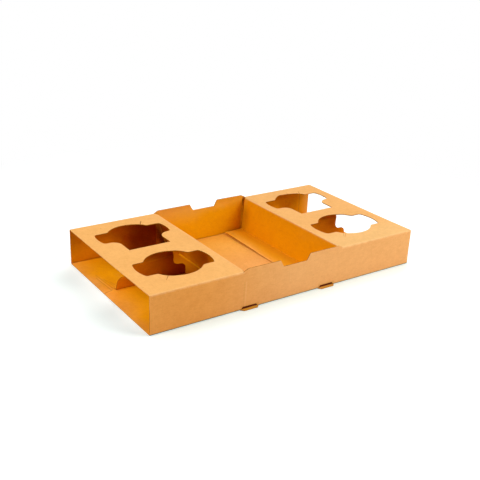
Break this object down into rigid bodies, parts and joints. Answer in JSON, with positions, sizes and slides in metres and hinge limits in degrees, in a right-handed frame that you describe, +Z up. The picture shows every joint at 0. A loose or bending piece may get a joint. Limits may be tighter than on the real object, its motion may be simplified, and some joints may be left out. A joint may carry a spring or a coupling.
{
  "type": "cup carrier",
  "caption": "Flat kraft board sleeve with open ends, round cup holes with side tabs, folded-down dividers and an open middle compartment with notched long walls.",
  "frame": {"origin": "on the ground, at the middle of the sleeve's floor (the tongues at the front wall's foot not counted)", "axes": "+X along the sleeve from its left open end to its right one, +Y from the front wall to the back wall, +Z up"},
  "size_m": [0.4, 0.2248, 0.0528],
  "materials": {
    "kraft_board": "uncoated matte kraft board"
  },
  "bodies": {
    "root": {"cup_carrier": "kraft_board"}
  },
  "joints": []
}
